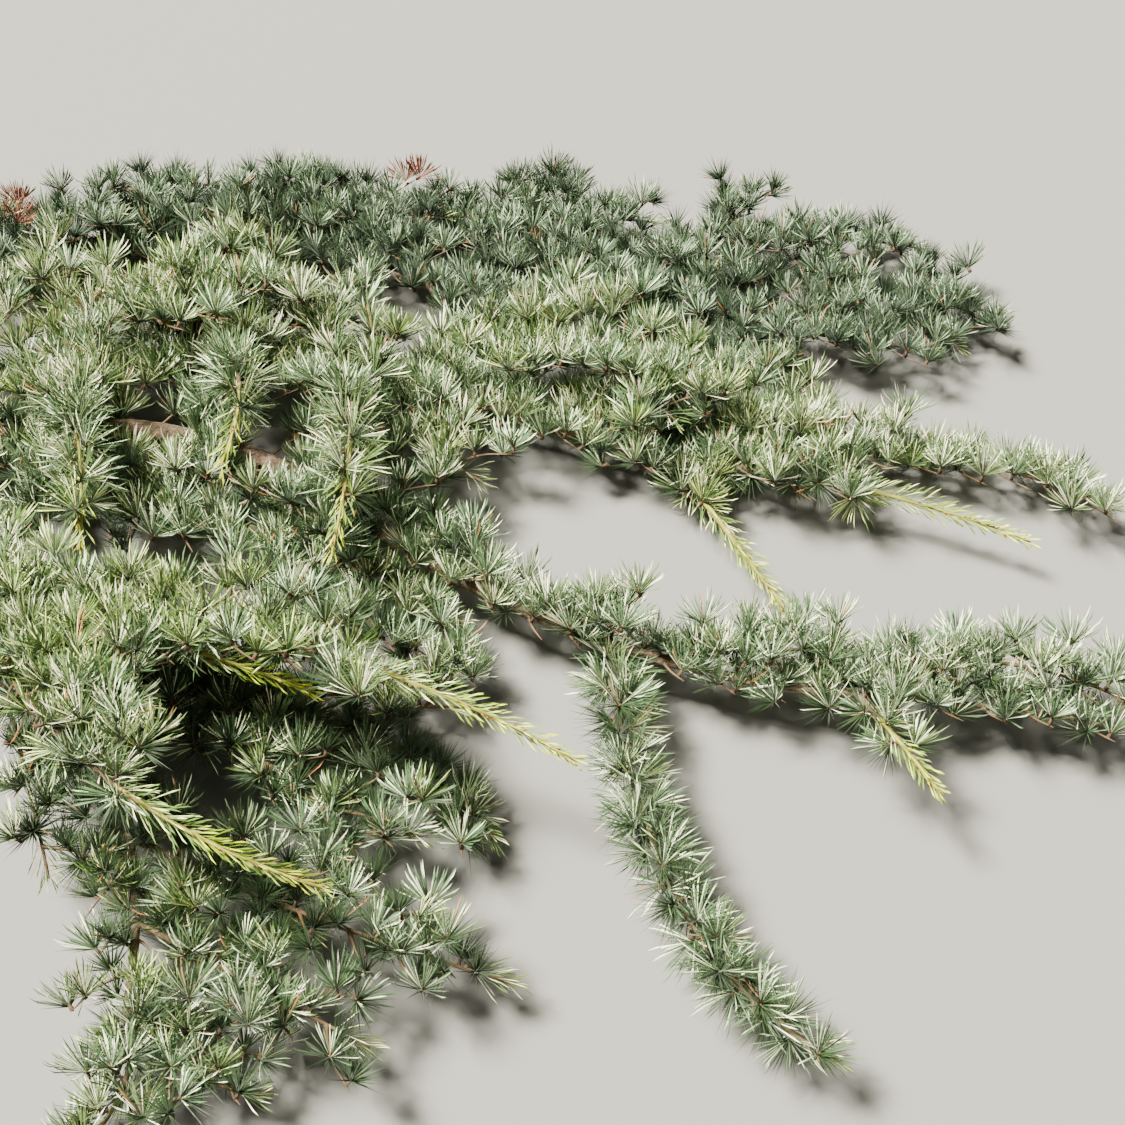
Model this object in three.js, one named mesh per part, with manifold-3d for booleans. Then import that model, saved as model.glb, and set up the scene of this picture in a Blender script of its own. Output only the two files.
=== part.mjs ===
// A cut bough of blue cedar, lying loose on the floor. One sawn limb forks into tapering boughs,
// and each bough carries sprays: a stem with side twigs, and whorls of needles standing out of them.
// Millimetres, +Z up. The sawn end looks along -X. The origin is under the middle of the bough.

import * as THREE from "three";
import { mergeVertices } from "three/addons/utils/BufferGeometryUtils.js";
import Module from "manifold-3d";

const wasm = await Module();
wasm.setup();

// Where the sawn end stands, and the clearance between neighbouring pieces
const SAWN_END = new THREE.Vector3(-499, 94, 24);
const GAP = 0.35;

// Each spray's own run of chance
const SEED_STEP = 7919;

// Sizes of wood
const LIMB_SIDES = 7;
const STEM_SIDES = 3;
const LINE_STEP = 30;
const STEM_BASE = 2.4;
const STEM_TIP = 1.3;
const TWIG_BASE = 1.7;
const TWIG_TIP = 1.1;

// Side twigs of a spray
const TWIG_FIRST = 0.2;
const TWIG_LAST = 0.8;
const TWIG_SPREAD = 48;
const TWIG_REACH = 0.36;
const TWIG_LONGEST = 85;
const TWIG_SHORTEST = 28;
const TWIG_ROOM = 16;
const TWIG_BARE = 0.45;

// Whorls of needles: a swelling of the wood, with a needle drawn out of each of its faces
const WHORL_FIRST = 14;
const WHORL_STEP = 40;
const FRESH_STEP = 23;
const SWELLING = 1;
const SWELLING_HALF = 3.6;
const NEEDLE = 25;
const FRESH_NEEDLE = 15;
const BUD = 9;

// The upper side that the bough grew with, as it lies
const SKY = new THREE.Vector3(0, 0.8, 0.6);

// Room kept round each spray, each limb and the floor
const CELL_ROOM = 2.6;
const LIMB_ROOM = 1.8;
const FLOOR_STEM = 5;

// Boughs. "on" and "at" are the bough they leave and the share along it, and radius is at both ends.
// Heading turns from +X towards +Y and rise is from level, both in degrees, and bend and lift are
// what each of them gains up to the tip. "fine" shortens the needles that a bough carries.
const LIMBS = {
  sawn_limb: { radius: [11, 8], heading: 0, rise: 0, length: 260, bend: 9, lift: 6 },
  middle_bough_inner: {
    on: "sawn_limb", at: 1, radius: [7.4, 5.5],
    heading: 4, rise: 2, length: 255, bend: -46, lift: -4,
  },
  middle_bough_outer: {
    on: "middle_bough_inner", at: 1, radius: [5.2, 2.4],
    heading: -38, rise: 0, length: 350, bend: 34, lift: 0,
  },
  upper_bough_inner: {
    on: "sawn_limb", at: 0.57, radius: [5.6, 4.2],
    heading: 28, rise: 8, length: 360, bend: -38, lift: -14,
  },
  upper_bough_outer: {
    on: "upper_bough_inner", at: 1, radius: [4, 2.3],
    heading: -12, rise: -4, length: 220, bend: -12, lift: 0,
  },
  back_bough_inner: {
    on: "sawn_limb", at: 0.3, radius: [6.2, 4.8],
    heading: 80, rise: 0, length: 265, bend: -58, lift: -2, fine: 0.85,
  },
  back_bough_outer: {
    on: "back_bough_inner", at: 1, radius: [4.6, 2.2],
    heading: 14, rise: -2, length: 440, bend: -34, lift: 2, fine: 0.85,
  },
  lower_bough_inner: {
    on: "sawn_limb", at: 0.5, radius: [5.8, 4.8],
    heading: -58, rise: 4, length: 210, bend: 18, lift: 0,
  },
  lower_bough_outer: {
    on: "lower_bough_inner", at: 1, radius: [4.6, 2.3],
    heading: -36, rise: 2, length: 260, bend: -60, lift: -8,
  },
  front_bough: {
    on: "sawn_limb", at: 0.66, radius: [4.8, 2.6],
    heading: -76, rise: 28, length: 250, bend: 52, lift: -20,
  },
  small_bough: {
    on: "middle_bough_inner", at: 0.06, radius: [3.6, 2.3],
    heading: -36, rise: -4, length: 145, bend: 12, lift: 2,
  },
};

// Sprays of each bough, told like the boughs. "twigs" is how many side twigs are tried, "fresh" is
// the share from which the spray is this year's shoot, "round" has needles all round it, and
// "late" puts more of the bend near the tip.
const SPRAYS = {
  sawn_limb: {
    sawn_spray_2: { at: 0.1, heading: 84, rise: 4, length: 225, bend: 0, lift: -8, twigs: 4 },
    sawn_spray_1: { at: 0.12, heading: -48, rise: -4, length: 190, bend: -8, lift: 4, twigs: 3 },
    sawn_spray_3: { at: 0.24, heading: -18, rise: 44, length: 125, bend: 18, lift: -32 },
  },
  middle_bough_inner: {
    middle_spray_dark: { at: 0.57, heading: -72, rise: -8, length: 100, bend: 38, lift: 8 },
  },
  middle_bough_outer: {
    middle_spray_1: { at: 0.07, heading: 14, rise: 36, length: 75, bend: -68, lift: -52 },
    middle_spray_2: { at: 0.33, heading: -36, rise: 28, length: 85, bend: 52, lift: -36 },
    middle_spray_hanging: {
      at: 0.5, heading: -84, rise: 6, length: 305, bend: 60, lift: -12, late: 2, round: true,
    },
    middle_spray_4: { at: 0.6, heading: 2, rise: 16, length: 125, bend: -4, lift: -24 },
    middle_spray_5: { at: 0.88, heading: 20, rise: 12, length: 215, bend: -48, lift: -24 },
    middle_spray_6: { at: 0.96, heading: -72, rise: 40, length: 90, bend: 16, lift: -46, fresh: 0.3 },
    middle_spray_tip: { at: 1, heading: -4, rise: 0, length: 175, bend: -8, lift: -4 },
  },
  upper_bough_inner: {
    upper_spray_left: { at: 0.12, heading: 96, rise: 28, length: 160, bend: -84, lift: -32, twigs: 1 },
    upper_spray_2: { at: 0.25, heading: 48, rise: 24, length: 235, bend: -56, lift: -32, twigs: 3 },
    nodding_spray_3: { at: 0.35, heading: -54, rise: 48, length: 180, bend: -36, lift: -68, fresh: 0.5 },
    upper_spray_3: { at: 0.45, heading: 32, rise: 12, length: 200, bend: -40, lift: -20, twigs: 2 },
    nodding_spray_1: { at: 0.66, heading: -40, rise: 60, length: 135, bend: -74, lift: -84, fresh: 0.5 },
    nodding_spray_2: { at: 0.9, heading: -68, rise: 52, length: 190, bend: -36, lift: -80, fresh: 0.5 },
    upper_spray_droop: { at: 0.97, heading: -68, rise: 8, length: 120, bend: 38, lift: -12 },
  },
  upper_bough_outer: {
    upper_spray_4: { at: 0.05, heading: 20, rise: 12, length: 230, bend: -48, lift: -20, twigs: 2 },
    upper_spray_5: { at: 0.65, heading: 16, rise: 10, length: 170, bend: -26, lift: -18 },
    upper_spray_low: { at: 0.88, heading: -8, rise: 8, length: 260, bend: -16, lift: -12, fresh: 0.5 },
    upper_spray_hanging: { at: 0.97, heading: -64, rise: 12, length: 140, bend: 8, lift: -20, fresh: 0.1 },
    upper_spray_tip: { at: 1, heading: 18, rise: 0, length: 300, bend: -46, lift: 0 },
  },
  back_bough_inner: {
    back_spray_root: { at: 0.47, heading: 96, rise: 14, length: 135, bend: -56, lift: -16, twigs: 2 },
    back_spray_1: { at: 0.65, heading: 34, rise: 26, length: 145, bend: -12, lift: -36 },
  },
  back_bough_outer: {
    back_spray_2: { at: 0.04, heading: 24, rise: 14, length: 190, bend: -40, lift: -22, twigs: 2 },
    back_spray_3: { at: 0.25, heading: 8, rise: 14, length: 190, bend: -14, lift: -22, twigs: 1 },
    back_spray_4: { at: 0.33, heading: -34, rise: 12, length: 255, bend: 28, lift: -20, twigs: 2 },
    back_spray_5: { at: 0.65, heading: 6, rise: 16, length: 170, bend: -8, lift: -24, twigs: 1 },
    back_spray_6: { at: 0.71, heading: -36, rise: 16, length: 175, bend: 8, lift: -20 },
    back_spray_10: { at: 0.9, heading: -38, rise: 4, length: 205, bend: 6, lift: -8 },
    back_spray_7: { at: 0.95, heading: 16, rise: 10, length: 245, bend: -24, lift: -18, twigs: 2 },
    back_spray_9: { at: 0.98, heading: -40, rise: 12, length: 245, bend: 42, lift: -20 },
    back_spray_tip: { at: 1, heading: -6, rise: 4, length: 275, bend: -4, lift: -6, twigs: 2 },
  },
  lower_bough_inner: {
    lower_spray_6: { at: 0.88, heading: -64, rise: 16, length: 185, bend: -8, lift: -28 },
  },
  lower_bough_outer: {
    lower_spray_under: { at: 0.13, heading: 16, rise: -12, length: 320, bend: -70, lift: 16, twigs: 3 },
    lower_spray_7: { at: 0.23, heading: 32, rise: -8, length: 175, bend: -76, lift: 6 },
    lower_spray_1: { at: 0.3, heading: 6, rise: 8, length: 230, bend: -72, lift: -20, twigs: 1 },
    lower_spray_2: { at: 0.6, heading: -28, rise: 8, length: 250, bend: 16, lift: -22 },
    lower_spray_3: { at: 0.8, heading: -30, rise: 16, length: 160, bend: 6, lift: -36 },
    lower_spray_5: { at: 0.94, heading: -68, rise: -4, length: 105, bend: 62, lift: 0 },
    lower_spray_tip: { at: 1, heading: -64, rise: -4, length: 100, bend: -100, lift: -4 },
  },
  front_bough: {
    front_spray_3: {
      at: 0.65, heading: -70, rise: 20, length: 340, bend: 56, lift: -32, twigs: 1, fresh: 0.6,
    },
    front_spray_4: { at: 0.8, heading: -48, rise: 8, length: 125, bend: 20, lift: -16 },
    front_spray_1: { at: 0.86, heading: -18, rise: 4, length: 190, bend: 0, lift: -12, fresh: 0.55 },
    front_spray_tip: { at: 1, heading: -4, rise: 8, length: 320, bend: -24, lift: -20, fresh: 0.55 },
  },
  small_bough: {
    small_spray_tip: { at: 1, heading: -30, rise: 0, length: 170, bend: 8, lift: -4 },
  },
};

const BARK = { color: 0x6b5a4c, roughness: 0.95, metalness: 0 };
const FOLIAGE = { color: 0x7f9c8a, roughness: 0.8, metalness: 0 };
const FRESH = { color: 0x9caa5c, roughness: 0.8, metalness: 0 };

const UP = new THREE.Vector3(0, 0, 1);

// Chance, the same at every build
function chance(seed) {
  let state = seed;
  return () => {
    state = (state * 1664525 + 1013904223) % 4294967296;
    return state / 4294967296;
  };
}

function mix(from, to, share) {
  return from + (to - from) * share;
}

// Unit direction from a heading and a rise in degrees
function aim(heading, rise) {
  const yaw = THREE.MathUtils.degToRad(heading);
  const pitch = THREE.MathUtils.degToRad(rise);
  return new THREE.Vector3(
    Math.cos(pitch) * Math.cos(yaw),
    Math.cos(pitch) * Math.sin(yaw),
    Math.sin(pitch),
  );
}

// The line of a limb, stem or twig: points that follow its turning direction, with radii
function trace(start, arc, radius) {
  const steps = Math.max(3, Math.round(arc.length / LINE_STEP));
  const bow = arc.late ?? 1;
  const toward = (share) => aim(arc.heading + arc.bend * share ** bow, arc.rise + arc.lift * share);
  const line = [];
  const point = start.clone();
  for (let k = 0; k <= steps; k += 1) {
    const share = k / steps;
    line.push({ point: point.clone(), along: toward(share), radius: mix(radius[0], radius[1], share) });
    point.addScaledVector(toward(share + 0.5 / steps), arc.length / steps);
    point.z = Math.max(point.z, FLOOR_STEM);
  }
  return line;
}

// Point, direction and radius at a share of a line
function pick(line, share) {
  const place = share * (line.length - 1);
  const k = Math.min(Math.floor(place), line.length - 2);
  const rest = place - k;
  return {
    point: line[k].point.clone().lerp(line[k + 1].point, rest),
    along: line[k].along.clone().lerp(line[k + 1].along, rest).normalize(),
    radius: mix(line[k].radius, line[k + 1].radius, rest),
  };
}

// A closed geometry as a solid that can be joined and cut
function solid(geometry) {
  geometry.deleteAttribute("normal");
  geometry.deleteAttribute("uv");
  const merged = mergeVertices(geometry);
  const mesh = new wasm.Mesh({
    numProp: 3,
    vertProperties: new Float32Array(merged.attributes.position.array),
    triVerts: new Uint32Array(merged.index.array),
  });
  return new wasm.Manifold(mesh);
}

// A round piece that follows a line: a cylinder whose rings are set across the line
function tube(line, sides, grow = 0) {
  const rings = line.length - 1;
  const geometry = new THREE.CylinderGeometry(1, 1, 1, sides, rings);
  const place = geometry.attributes.position;
  for (let i = 0; i < place.count; i += 1) {
    const k = Math.round((place.getY(i) + 0.5) * rings);
    const { point, along, radius } = line[k];
    const across = new THREE.Vector3().crossVectors(UP, along).normalize();
    const over = new THREE.Vector3().crossVectors(along, across);
    const spot = point.clone();
    spot.addScaledVector(across, place.getZ(i) * (radius + grow));
    spot.addScaledVector(over, place.getX(i) * (radius + grow));
    if (k === 0) spot.addScaledVector(along, -grow);
    if (k === rings) spot.addScaledVector(along, grow);
    place.setXYZ(i, spot.x, spot.y, spot.z);
  }
  return solid(geometry);
}

// The largest body of a solid, so that loose scraps of a cut are dropped
function largest(whole) {
  const bodies = whole.decompose();
  bodies.sort((a, b) => b.volume() - a.volume());
  return bodies[0];
}

function makeMesh(name, body, anchor, finish) {
  const { vertProperties, triVerts } = body.getMesh();
  const geometry = new THREE.BufferGeometry();
  geometry.setAttribute("position", new THREE.BufferAttribute(vertProperties, 3));
  geometry.setIndex(new THREE.BufferAttribute(triVerts, 1));
  geometry.translate(-anchor.x, -anchor.y, -anchor.z);
  geometry.computeVertexNormals();
  const material = new THREE.MeshStandardMaterial({ ...finish, flatShading: true });
  const mesh = new THREE.Mesh(geometry, material);
  mesh.name = name;
  mesh.position.copy(anchor);
  return mesh;
}

// Lines of all limbs, each from its place on the bough it leaves
function traceLimbs() {
  const lines = {};
  for (const [name, arc] of Object.entries(LIMBS)) {
    const start = arc.on ? pick(lines[arc.on], arc.at).point : SAWN_END;
    lines[name] = trace(start, arc, arc.radius);
  }
  return lines;
}

// Wood as short straight pieces, each with its spray and its line, to measure room with
function pieces(spray, line) {
  const list = [];
  for (let k = 1; k < line.length; k += 1) {
    const from = line[k - 1];
    const to = line[k];
    const span = to.point.clone().sub(from.point);
    const radius = (from.radius + to.radius) / 2;
    list.push({ spray, line, from: from.point, span, square: span.lengthSq(), radius });
  }
  return list;
}

// Distance from a spot to the middle line of a piece
function reach(spot, piece) {
  const way = spot.clone().sub(piece.from);
  const share = THREE.MathUtils.clamp(way.dot(piece.span) / piece.square, 0, 1);
  return way.addScaledVector(piece.span, -share).length();
}

// Distances from a spot to its own wood, to other stems and twigs and to the skin of the limbs
function room(spot, isOwn, wood) {
  let own = Infinity;
  let other = Infinity;
  for (const piece of wood.sprays) {
    const far = reach(spot, piece);
    if (isOwn(piece)) own = Math.min(own, far);
    else other = Math.min(other, far);
  }
  let limb = Infinity;
  for (const piece of wood.limbs) limb = Math.min(limb, reach(spot, piece) - piece.radius);
  return { own, other, limb };
}

// Side twigs of one spray: they alternate, open forward and bend on towards the tip.
// A twig that comes too near other wood is tried shorter, then left out.
function growTwigs(name, arc, stem, dice, wood) {
  const twigs = [];
  const count = arc.twigs ?? 0;
  for (let i = 0; i < count; i += 1) {
    const share = mix(TWIG_FIRST, TWIG_LAST, (i + dice()) / count);
    const side = i % 2 === 0 ? 1 : -1;
    const spread = side * (TWIG_SPREAD + 16 * (dice() - 0.5));
    const longest = Math.min(TWIG_LONGEST, TWIG_REACH * arc.length);
    const full = longest * mix(1.1, 0.6, share) * mix(0.8, 1.2, dice());
    const lean = mix(-4, 14, dice());
    const base = pick(stem, share);
    const heading = THREE.MathUtils.radToDeg(Math.atan2(base.along.y, base.along.x)) + spread;
    const rise = THREE.MathUtils.radToDeg(Math.asin(base.along.z)) * 0.6 + lean;
    for (const shrink of [1, 0.65]) {
      const length = full * shrink;
      if (length < TWIG_SHORTEST) break;
      const bend = { heading, rise, length, bend: -side * 22, lift: -lean };
      const line = trace(base.point, bend, [TWIG_BASE, TWIG_TIP]);
      const free = line.slice(1).every(({ point }) => {
        const near = room(point, (piece) => piece.spray === name, wood);
        return near.other > TWIG_ROOM && near.limb > TWIG_ROOM * 0.6;
      });
      if (free) {
        twigs.push({ line, length });
        break;
      }
    }
  }
  return twigs;
}

// The rings of a stem or twig with its whorls: three rings to a whorl, each a sixth of a turn on,
// so that the band between two of them has six faces looking six ways
function setRings({ line, length, fresh = 1 }, first, dice) {
  const rings = [];
  let spin = dice() * 120;
  const ring = (place, extra, whorl) => {
    const share = THREE.MathUtils.clamp(place / length, 0, 1);
    const { point, along, radius } = pick(line, share);
    rings.push({ point, along, radius: radius + extra, spin, whorl, share });
  };
  ring(0, 0, false);
  let place = first;
  while (place < length - SWELLING_HALF) {
    const share = place / length;
    ring(place - SWELLING_HALF, 0, true);
    spin -= 60;
    ring(place, SWELLING, true);
    spin -= 60;
    ring(place + SWELLING_HALF, 0, false);
    const step = share < fresh ? WHORL_STEP : FRESH_STEP;
    const rest = length - SWELLING_HALF - 1 - place;
    place += rest > step * 1.5 || rest < 1 ? step : Math.max(rest, 2 * SWELLING_HALF + 1);
  }
  return rings;
}

// One corner of a ring, counted round it
function ringCorner(ring, i) {
  const across = new THREE.Vector3().crossVectors(UP, ring.along).normalize();
  const over = new THREE.Vector3().crossVectors(ring.along, across);
  const angle = THREE.MathUtils.degToRad(ring.spin + i * 360 / STEM_SIDES);
  return ring.point.clone()
    .addScaledVector(across, ring.radius * Math.cos(angle))
    .addScaledVector(over, ring.radius * Math.sin(angle));
}

// The tip of the needle that a face is drawn out to, or null where it finds no room.
// Needles lean forward on this year's shoot and at a tip, and elsewhere turn up to the sky.
function needleTip(face, ring, arc, forward, dice, line, wood) {
  const [a, b, c] = face;
  const middle = a.clone().add(b).add(c).divideScalar(3);
  const out = b.clone().sub(a).cross(c.clone().sub(a)).normalize();
  const fresh = ring.share >= (arc.fresh ?? 1);
  const older = NEEDLE * (arc.fine ?? 1);
  const length = (fresh ? FRESH_NEEDLE : older) * mix(0.85, 1.12, dice());
  const toward = out.clone().addScaledVector(ring.along, forward + (fresh ? 0.9 : 0));
  if (!arc.round && !fresh) toward.addScaledVector(SKY, 0.55);
  toward.x += 0.3 * (dice() - 0.5);
  toward.y += 0.3 * (dice() - 0.5);
  toward.z += 0.3 * (dice() - 0.5);
  toward.normalize();
  for (const shrink of [1, 0.7, 0.45]) {
    const tip = middle.clone().addScaledVector(toward, length * shrink);
    tip.z = Math.max(tip.z, 0);
    const steep = tip.clone().sub(middle).dot(out) / (length * shrink);
    if (steep < 0.3) return null;
    const fits = [0.4, 0.7, 1].every((share) => {
      const spot = middle.clone().lerp(tip, share);
      const near = room(spot, (piece) => piece.line === line, wood);
      return near.own + CELL_ROOM * mix(1, 0.5, share) < near.other && near.limb > LIMB_ROOM;
    });
    if (fits) return tip;
  }
  return null;
}

// A stem or twig with its needles as one closed skin
function brush(stem, first, arc, dice, wood) {
  const rings = setRings(stem, first, dice);
  const corners = [];
  const root = stem.line[0].point;
  const last = pick(stem.line, 1);
  const bud = last.point.clone().addScaledVector(last.along, BUD);
  bud.z = Math.max(bud.z, 0);
  for (let i = 0; i < STEM_SIDES; i += 1) {
    corners.push(root, ringCorner(rings[0], i + 1), ringCorner(rings[0], i));
    const end = rings[rings.length - 1];
    corners.push(ringCorner(end, i), ringCorner(end, i + 1), bud);
  }
  for (let k = 1; k < rings.length; k += 1) {
    const low = rings[k - 1];
    const high = rings[k];
    const atTip = k > rings.length - 3;
    const forward = (high.radius < low.radius ? 0.45 : -0.1) + (atTip ? 0.6 : 0);
    for (let i = 0; i < STEM_SIDES; i += 1) {
      const faces = [
        [ringCorner(low, i), ringCorner(low, i + 1), ringCorner(high, i + 1)],
        [ringCorner(low, i), ringCorner(high, i + 1), ringCorner(high, i)],
      ];
      for (const face of faces) {
        const tip = low.whorl ? needleTip(face, low, arc, forward, dice, stem.line, wood) : null;
        if (tip === null) {
          corners.push(...face);
          continue;
        }
        for (let n = 0; n < 3; n += 1) corners.push(face[n], face[(n + 1) % 3], tip);
      }
    }
  }
  return solid(new THREE.BufferGeometry().setFromPoints(corners));
}

// Each limb is cut clear of those before it. What comes back are the cutters, a little wider
// than the limbs, that keep the sprays clear in the same way.
function buildLimbs(group, lines) {
  const cutters = {};
  for (const [name, line] of Object.entries(lines)) {
    let body = tube(line, LIMB_SIDES);
    for (const cutter of Object.values(cutters)) body = body.subtract(cutter);
    group.add(makeMesh(name, largest(body), line[0].point, BARK));
    cutters[name] = tube(line, LIMB_SIDES, GAP);
  }
  return cutters;
}

// All stems are traced first, then all twigs, and then the needles, which keep to the space
// nearest to their own stem or twig
function buildSprays(group, lines, cutters) {
  const wood = { sprays: [], limbs: Object.entries(lines).flatMap(([name, line]) => pieces(name, line)) };
  const sprays = [];
  for (const [limb, rows] of Object.entries(SPRAYS)) {
    for (const [name, row] of Object.entries(rows)) {
      const arc = { ...row, on: limb, fine: LIMBS[limb].fine };
      const dice = chance(SEED_STEP * (sprays.length + 1));
      const line = trace(pick(lines[limb], arc.at).point, arc, [STEM_BASE, STEM_TIP]);
      sprays.push({ name, arc, dice, stem: { line, length: arc.length, fresh: arc.fresh } });
      wood.sprays.push(...pieces(name, line));
    }
  }
  for (const spray of sprays) {
    spray.twigs = growTwigs(spray.name, spray.arc, spray.stem.line, spray.dice, wood);
    for (const twig of spray.twigs) wood.sprays.push(...pieces(spray.name, twig.line));
  }
  for (const { name, arc, dice, stem, twigs } of sprays) {
    const parts = [brush(stem, WHORL_FIRST, arc, dice, wood)];
    for (const twig of twigs) {
      parts.push(brush(twig, twig.length * TWIG_BARE, { ...arc, fresh: 1 }, dice, wood));
    }
    const body = wasm.Manifold.union(parts).subtract(cutters[arc.on]);
    const finish = (arc.fresh ?? 1) < 0.5 ? FRESH : FOLIAGE;
    group.add(makeMesh(name, largest(body), stem.line[0].point, finish));
  }
}

const bough = new THREE.Group();
bough.name = "cedar_bough";
const limbLines = traceLimbs();
const limbCutters = buildLimbs(bough, limbLines);
buildSprays(bough, limbLines, limbCutters);

export default bough;
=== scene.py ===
# A cut bough of blue cedar, lying loose on a pale floor. One sawn limb forks into tapering boughs,
# and each bough carries sprays of short needles, in tufts on small spurs. Metres, +Z up.
# The lines of the wood are grown in millimetres, by the rule of the solids, and drawn in metres.

import math

import bpy
import numpy as np
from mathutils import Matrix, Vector
from mathutils.kdtree import KDTree


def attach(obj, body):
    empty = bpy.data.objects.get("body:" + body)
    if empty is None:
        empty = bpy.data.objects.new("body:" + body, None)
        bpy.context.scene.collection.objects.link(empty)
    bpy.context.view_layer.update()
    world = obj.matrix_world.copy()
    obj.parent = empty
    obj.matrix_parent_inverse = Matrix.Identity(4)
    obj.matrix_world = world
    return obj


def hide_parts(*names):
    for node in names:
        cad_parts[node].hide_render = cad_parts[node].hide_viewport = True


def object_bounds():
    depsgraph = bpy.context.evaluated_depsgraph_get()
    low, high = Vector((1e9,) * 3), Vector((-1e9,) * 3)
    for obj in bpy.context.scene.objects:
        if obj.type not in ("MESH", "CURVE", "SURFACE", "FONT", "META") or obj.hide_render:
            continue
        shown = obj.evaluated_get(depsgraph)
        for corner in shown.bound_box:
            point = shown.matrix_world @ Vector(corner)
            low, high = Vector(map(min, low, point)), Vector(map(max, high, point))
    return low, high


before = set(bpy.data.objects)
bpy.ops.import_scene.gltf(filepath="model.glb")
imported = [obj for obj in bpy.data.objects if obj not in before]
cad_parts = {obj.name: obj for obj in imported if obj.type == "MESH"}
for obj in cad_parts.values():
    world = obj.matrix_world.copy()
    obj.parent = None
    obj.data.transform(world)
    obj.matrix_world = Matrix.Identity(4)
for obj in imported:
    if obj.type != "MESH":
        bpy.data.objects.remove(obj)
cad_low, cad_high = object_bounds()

MM = 0.001
GOLDEN_TURN = math.radians(137.5)
UP = np.array([0.0, 0.0, 1.0])

# The upper side that the bough grew with, as it lies
SKY = np.array([0.0, 0.8, 0.6])

# Growth of the wood, as in the solids
SAWN_END = np.array([-499.0, 94.0, 24.0])
SEED_STEP = 7919
LINE_STEP = 30
STEM_BASE = 2.4
STEM_TIP = 1.3
TWIG_BASE = 1.7
TWIG_TIP = 1.1
TWIG_FIRST = 0.2
TWIG_LAST = 0.8
TWIG_SPREAD = 48
TWIG_STRAY = 16
TWIG_LEAN = (-4, 14)
TWIG_BEND = 22
TWIG_REACH = 0.36
TWIG_LONGEST = 85
TWIG_SHORTEST = 28
TWIG_ROOM = 16
SHRINK = 0.65
FLOOR_STEM = 5

# Finer side shoots that only the scene draws, to fill gaps between sprays
SHOOT_STEP = 15
SHOOT_SHORT = 13
SHOOT_ROOM = 8
SHOOT_RADIUS = (1.2, 0.8)
SHOOT_APART = 8
SHOOT_END = 6
SHOOTS_UNTIL = 0.95

# For each bough, the share from which it bears tufts of its own, its longest finer shoot, and how
# near other wood has to be for more than a short one to grow
DRESSING = {
    "sawn_limb": (0.55, 48, 60),
    "middle_bough_inner": (0.05, 74, 90),
    "middle_bough_outer": (0.0, 24, 48),
    "upper_bough_inner": (0.15, 46, 46),
    "upper_bough_outer": (0.0, 44, 60),
    "back_bough_inner": (0.2, 44, 42),
    "back_bough_outer": (0.0, 40, 56),
    "lower_bough_inner": (0.3, 46, 60),
    "lower_bough_outer": (0.0, 38, 50),
    "front_bough": (0.35, 44, 60),
    "small_bough": (0.1, 70, 95),
}

# Longer side twigs between the boughs: the bough, the share along it, the heading, the rise and
# the length. They all bend a little forward and down.
FILL_BEND = 14
FILL_LIFT = -4
FILL_TWIGS = [
    ("sawn_limb", 0.93, -78, 4, 70),
    ("middle_bough_inner", 0.05, -98, 2, 84),
    ("small_bough", 0.12, -122, 2, 78),
    ("small_bough", 0.22, -146, 0, 66),
    ("small_bough", 0.32, -96, 0, 62),
    ("small_bough", 0.55, -112, 0, 60),
    ("middle_bough_inner", 0.3, -84, -2, 54),
    ("upper_bough_outer", 0.15, 34, 8, 52),
    ("upper_bough_outer", 0.34, 32, 8, 56),
    ("upper_bough_outer", 0.54, 30, 8, 50),
    ("back_bough_outer", 0.08, -40, 2, 60),
    ("back_bough_outer", 0.16, -52, 4, 48),
]

# Tufts of needles on their spurs. The steps of round and nodding sprays are shares of the step.
TUFT_STEP = 9.5
LIMB_TUFT_STEP = 10.5
SHOOT_TUFT_STEP = 9
ROUND_STEP = 0.62
NODDING_STEP = 0.75
NEEDLES_OF_TUFT = 62
SPREAD = 72
INNER_TILT = 6
SPUR_LENGTH = 3.6
SPUR_WIDTH = 1.5
BUD_LENGTH = 2.8
BUD_WIDTH = 1.35
FIRST_TUFT = 4
LOWEST_ROOT = 3
DRY_SHARE = 0.004
# Share of the needles in each tuft that take a darker tint at random, as painted shade
SHADED_SHARE = 0.28

# The side of a line that faces down, by how far out points away from the sky, and the chance that a
# tuft is left out there
UNDERSIDE = -0.4
UNDERSIDE_BARE = 0.65

# How far tufts turn up to the sky
UPRIGHT = 1.2
LOWER_UPRIGHT = 0.7
FRESH_UPRIGHT = 0.5
ROUND_UPRIGHT = 0.15

# Needles: their length, width and bow, and the share of the length where they are widest. Those of
# round and nodding sprays are longer, and those of this year's shoots are wider.
NEEDLE = 24
NEEDLE_WIDTH = 0.88
NEEDLE_BOW = 0.11
NEEDLE_BELLY = 0.76
LONGER_NEEDLE = 1.15
YOUNG_NEEDLE = 1.2

# The needles keep clear of the floor, of wood and of the space far above the bough
LOWEST_TIP = 1.2
LOWEST_NEEDLE = 0.8
STEEPEST = 0.9
WOOD_GAP = 0.5
TOP_SPARE = 8

# Single needles at the tip of a spray, and on a shoot of this year with its bud scales. The sizes
# are those of the first and the last needle.
TIP_SHARE = 0.12
TIP_LONGEST = 24
TIP_STEP = 0.85
TIP_SIZES = (22, 12)
SINGLE_STEP = 0.75
SINGLE_SIZES = (24, 10)
NODDING_SINGLE_STEP = 1.6
SCALE_STEP = 3.2
SCALE_LENGTH = 2.6
SCALE_WIDTH = 0.7

# A tuft is shaded, with a chance, where wood stands this far above it, within this distance seen
# from above
COVER_RISE = 20
COVER_RANGE = 16
COVER_SHADED = 0.75

# Two patches of dead needles near the back bough, as places on the floor
DEAD_PATCHES = [(3, 353), (-283, 302)]
DEAD_RANGE = 15

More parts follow.
